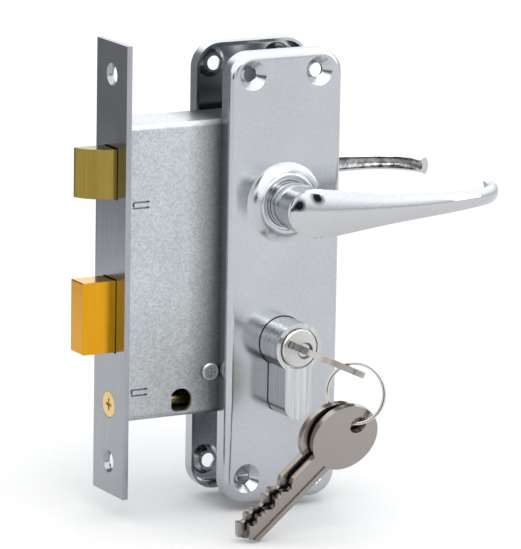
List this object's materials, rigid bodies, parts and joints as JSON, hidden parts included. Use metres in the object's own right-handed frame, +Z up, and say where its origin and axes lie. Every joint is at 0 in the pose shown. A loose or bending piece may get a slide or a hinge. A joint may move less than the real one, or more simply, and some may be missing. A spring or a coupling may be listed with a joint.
{
  "type": "mortise lock",
  "caption": "Door mortise lock with latch and deadbolt, lever handles on long plates, double euro-profile cylinder, and keys on a split ring.",
  "frame": {"origin": "centre of the forend's outer face, midway between its two fixing holes", "axes": "+Z up, +X from the forend into the door, -Y towards the keyed side with the key in it"},
  "size_m": [0.1464, 0.1111, 0.1605],
  "materials": {
    "forend_steel": "satin nickel-plated steel, polished face",
    "zinc_plate": "zinc-plated pressed steel",
    "screw_steel": "zinc-plated screw",
    "spring_steel": "bright spring steel",
    "latch_brass": "polished brass",
    "bolt_brass": "polished golden brass",
    "screw_brass": "yellow-passivated brass screw",
    "tail_steel": "zinc-plated steel",
    "chrome_plate": "bright chrome on pressed steel",
    "chrome_lever": "bright chrome on cast zinc",
    "bush_nickel": "nickel-plated brass",
    "cylinder_chrome": "satin chrome on brass",
    "plug_nickel": "nickel-plated brass",
    "cam_steel": "sintered steel",
    "pin_brass": "turned brass",
    "key_nickel": "nickel silver, lightly brushed",
    "ring_nickel": "nickel-plated steel"
  },
  "bodies": {
    "case": {"forend": "forend_steel", "case_body": "zinc_plate", "case_cover": "zinc_plate", "case_pillars": "zinc_plate", "case_screws": "screw_steel", "bolt_guide_stud": "zinc_plate", "spring_bracket": "zinc_plate", "detent_spring": "spring_steel", "detent_posts": "zinc_plate", "front_bush": "bush_nickel", "rear_bush": "bush_nickel", "front_plate": "chrome_plate", "rear_plate": "chrome_plate", "cylinder_body": "cylinder_chrome", "rear_plug": "plug_nickel", "front_driver_pins": "pin_brass", "front_pin_springs": "spring_steel", "rear_key_pins": "pin_brass", "rear_driver_pins": "pin_brass", "rear_pin_springs": "spring_steel", "retaining_screw": "screw_brass", "follower_spring": "spring_steel", "latch_spring": "spring_steel", "rear_plug_clip": "zinc_plate"},
    "levers": {"follower": "tail_steel", "spindle": "tail_steel", "front_lever": "chrome_lever", "rear_lever": "chrome_lever", "front_circlip": "zinc_plate", "rear_circlip": "zinc_plate"},
    "latch": {"latch_head": "latch_brass", "latch_tail": "tail_steel", "latch_guide_rod": "tail_steel"},
    "plug": {"front_plug": "plug_nickel", "cylinder_cam": "cam_steel", "cam_clutch": "cam_steel", "front_key_pins": "pin_brass", "front_plug_clip": "zinc_plate"},
    "deadbolt": {"deadbolt_head": "bolt_brass", "deadbolt_tail": "tail_steel", "deadbolt_rivets": "bolt_brass"},
    "key": {"key_in_lock": "key_nickel"},
    "ring": {"key_ring": "ring_nickel"},
    "key_front": {"hanging_key_front": "key_nickel"},
    "key_rear": {"hanging_key_rear": "key_nickel"}
  },
  "joints": [
    {"name": "lever_turn", "type": "hinge", "parent": "case", "child": "levers", "pos_m": [0.057, 0, 0.021], "axis": [0, 1, 0], "range_deg": [0, 45], "stiffness_Nm_per_rad": 0.8, "springref_deg": -17.19, "deforming": ["follower_spring"]},
    {"name": "latch_slide", "type": "slide", "parent": "case", "child": "latch", "axis": [1, 0, 0], "range_m": [0, 0.0109], "stiffness_N_per_m": 250, "springref_m": -0.012, "deforming": ["latch_spring"]},
    {"name": "plug_turn", "type": "hinge", "parent": "case", "child": "plug", "pos_m": [0.057, 0, -0.0265], "axis": [0, 1, 0], "range_deg": [0, 65]},
    {"name": "deadbolt_slide", "type": "slide", "parent": "case", "child": "deadbolt", "axis": [1, 0, 0], "range_m": [0, 0.01245], "deforming": ["detent_spring"]},
    {"name": "key_pull", "type": "slide", "parent": "plug", "child": "key", "axis": [0, -1, 0], "range_m": [0, 0.026], "deforming": ["front_key_pins"]},
    {"name": "ring_swing", "type": "hinge", "parent": "key", "child": "ring", "pos_m": [0.05782, -0.0553, -0.02688], "axis": [0.7408, 0.644, -0.1908], "range_deg": [-20, 4]},
    {"name": "front_key_swing", "type": "hinge", "parent": "ring", "child": "key_front", "pos_m": [0.05953, -0.06255, -0.04468], "axis": [0, 0.9537, 0.3007], "range_deg": [-40, 15]},
    {"name": "rear_key_swing", "type": "hinge", "parent": "ring", "child": "key_rear", "pos_m": [0.05679, -0.05928, -0.04427], "axis": [0, 0.9537, 0.3007], "range_deg": [-40, 15]}
  ],
  "couplings": [
    {"joint": "latch_slide", "follows": "lever_turn", "m_per_rad": 0.013843},
    {"joint": "deadbolt_slide", "follows": "plug_turn", "m_per_rad": 0.01093}
  ]
}
